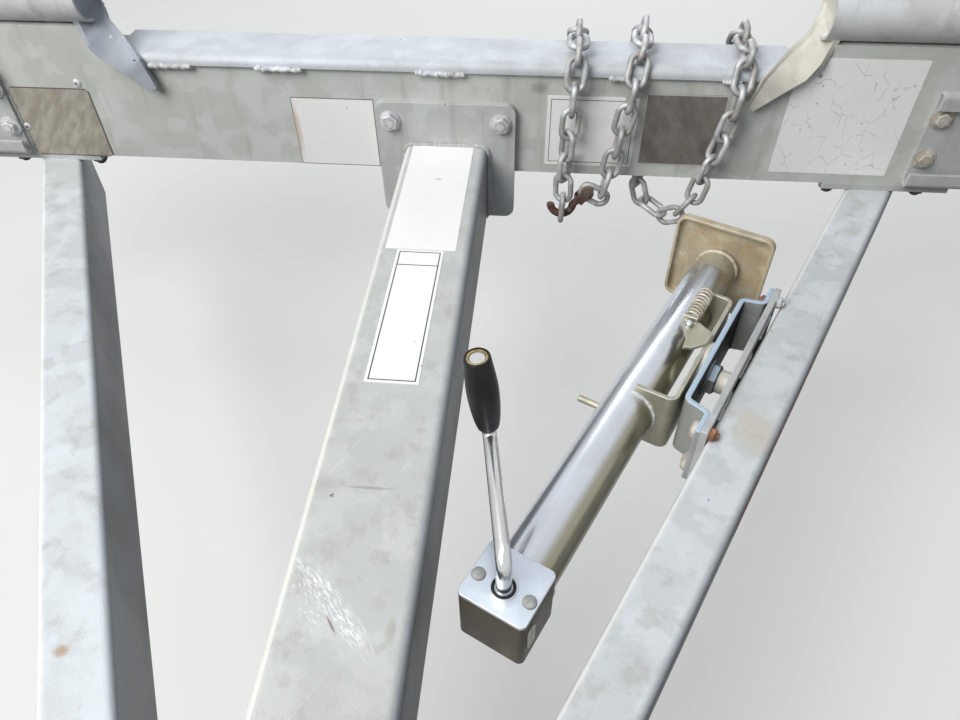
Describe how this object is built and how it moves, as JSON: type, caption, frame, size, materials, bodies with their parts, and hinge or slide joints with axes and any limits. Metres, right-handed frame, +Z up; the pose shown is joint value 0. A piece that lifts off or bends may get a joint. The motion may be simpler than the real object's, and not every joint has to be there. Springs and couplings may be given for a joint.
{
  "type": "car transporter drawbar with swivel jack",
  "caption": "Front end of a car transporter: galvanised crossbeam, A-frame drawbar, ball coupler, swivel jack in storage position and safety chains.",
  "frame": {"origin": "centre of the crossbeam's rear face, where the deck's frame bolts on", "axes": "+X to the trailer's left, +Y to its rear, +Z up"},
  "size_m": [1.7, 1.3753, 0.349],
  "materials": {
    "galvanised": "matt hot-dip galvanised",
    "galvanised_bright": "bright galvanised sheet",
    "galvanised_rail": "spangled galvanised",
    "zinc_plate": "satin zinc plate",
    "zinc_yellow": "yellowed zinc plate",
    "crank_steel": "polished",
    "grip": "satin black",
    "chain_steel": "weathered zinc plate",
    "coupler_steel": "zinc plate",
    "rusted_steel": "rusted forging"
  },
  "bodies": {
    "frame": {"crossbeam": "galvanised", "beam_face": "galvanised", "beam_cap": "galvanised_bright", "track_riser_left": "galvanised", "track_riser_right": "galvanised", "track_nose_left": "galvanised_bright", "track_nose_right": "galvanised_bright", "gusset_left": "galvanised", "gusset_right": "galvanised", "face_bracket_left": "galvanised", "face_bracket_right": "galvanised", "tongue_flange": "galvanised", "tongue": "galvanised", "rail_left": "galvanised_rail", "rail_right": "galvanised_rail", "rail_pad_left": "galvanised", "rail_pad_right": "galvanised", "coupler_body": "coupler_steel", "coupler_latch": "coupler_steel", "latch_pin": "zinc_plate", "jack_base_plate": "zinc_plate", "jack_hat_bracket": "zinc_plate", "swivel_pin": "zinc_plate", "safety_chain_front": "chain_steel", "safety_chain_side": "chain_steel", "chain_hook": "rusted_steel", "chain_eye": "galvanised"},
    "jack": {"jack_channel": "zinc_plate", "jack_tube": "zinc_plate", "jack_head": "zinc_yellow", "jack_cover": "crank_steel", "lock_plate": "zinc_plate", "lock_spring": "zinc_plate", "pull_rod": "zinc_plate"},
    "jack_leg": {"jack_leg": "zinc_plate", "jack_foot": "zinc_yellow"},
    "crank": {"crank_rod": "crank_steel", "crank_grip": "grip"}
  },
  "joints": [
    {"name": "jack_swivel", "type": "hinge", "parent": "frame", "child": "jack", "pos_m": [0.2503, -0.35914, -0.101], "axis": [-0.8957, 0.4446, 0], "range_deg": [0, 90]},
    {"name": "leg_extension", "type": "slide", "parent": "jack", "child": "jack_leg", "axis": [0.4446, 0.8957, 0], "range_m": [0, 0.065]},
    {"name": "crank_turn", "type": "hinge", "parent": "jack", "child": "crank", "pos_m": [0.11068, -0.64039, -0.101], "axis": [0, 0, 1], "continuous": true}
  ]
}
